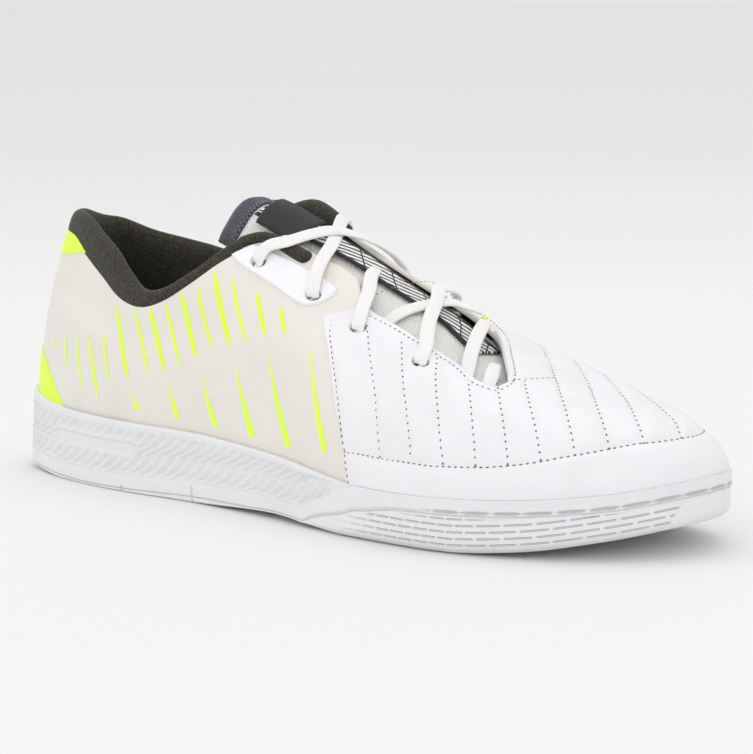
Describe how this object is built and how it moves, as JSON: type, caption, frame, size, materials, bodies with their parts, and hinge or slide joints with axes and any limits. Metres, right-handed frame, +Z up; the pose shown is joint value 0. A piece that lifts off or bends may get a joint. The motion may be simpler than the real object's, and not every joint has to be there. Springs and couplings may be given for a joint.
{
  "type": "indoor soccer shoe",
  "caption": "Low indoor soccer shoe for the right foot: coated mesh upper, quilted leather vamp, padded collar, laced throat, flat rubber sole.",
  "frame": {"origin": "on the floor under the middle of the shoe's length and width", "axes": "+X from heel to toe, +Y towards the inner side of the right foot, +Z up"},
  "size_m": [0.29, 0.0972, 0.1054],
  "materials": {
    "outsole": "satin white rubber",
    "midsole": "matt white foam",
    "insole": "brushed",
    "upper": "coated mesh",
    "leather": "soft satin",
    "patch": "smooth satin",
    "neon": "coated",
    "lining": "heathered fleece",
    "tongue": "open mesh",
    "knit": "ribbed knit",
    "webbing": "woven",
    "lace": "flat woven"
  },
  "bodies": {
    "root": {"outsole": "outsole", "midsole": "midsole", "insole": "insole", "upper": "upper", "vamp": "leather", "eyestay_outer": "patch", "eyestay_inner": "patch", "heel_tab": "neon", "heel_counter": "neon", "collar_lining": "lining", "tongue": "tongue", "tongue_binding": "knit", "tongue_webbing": "webbing", "tongue_label": "webbing", "lace_top": "lace", "lace_third": "lace", "lace_middle": "lace", "lace_sixth": "lace", "lace_low": "lace"}
  },
  "joints": []
}
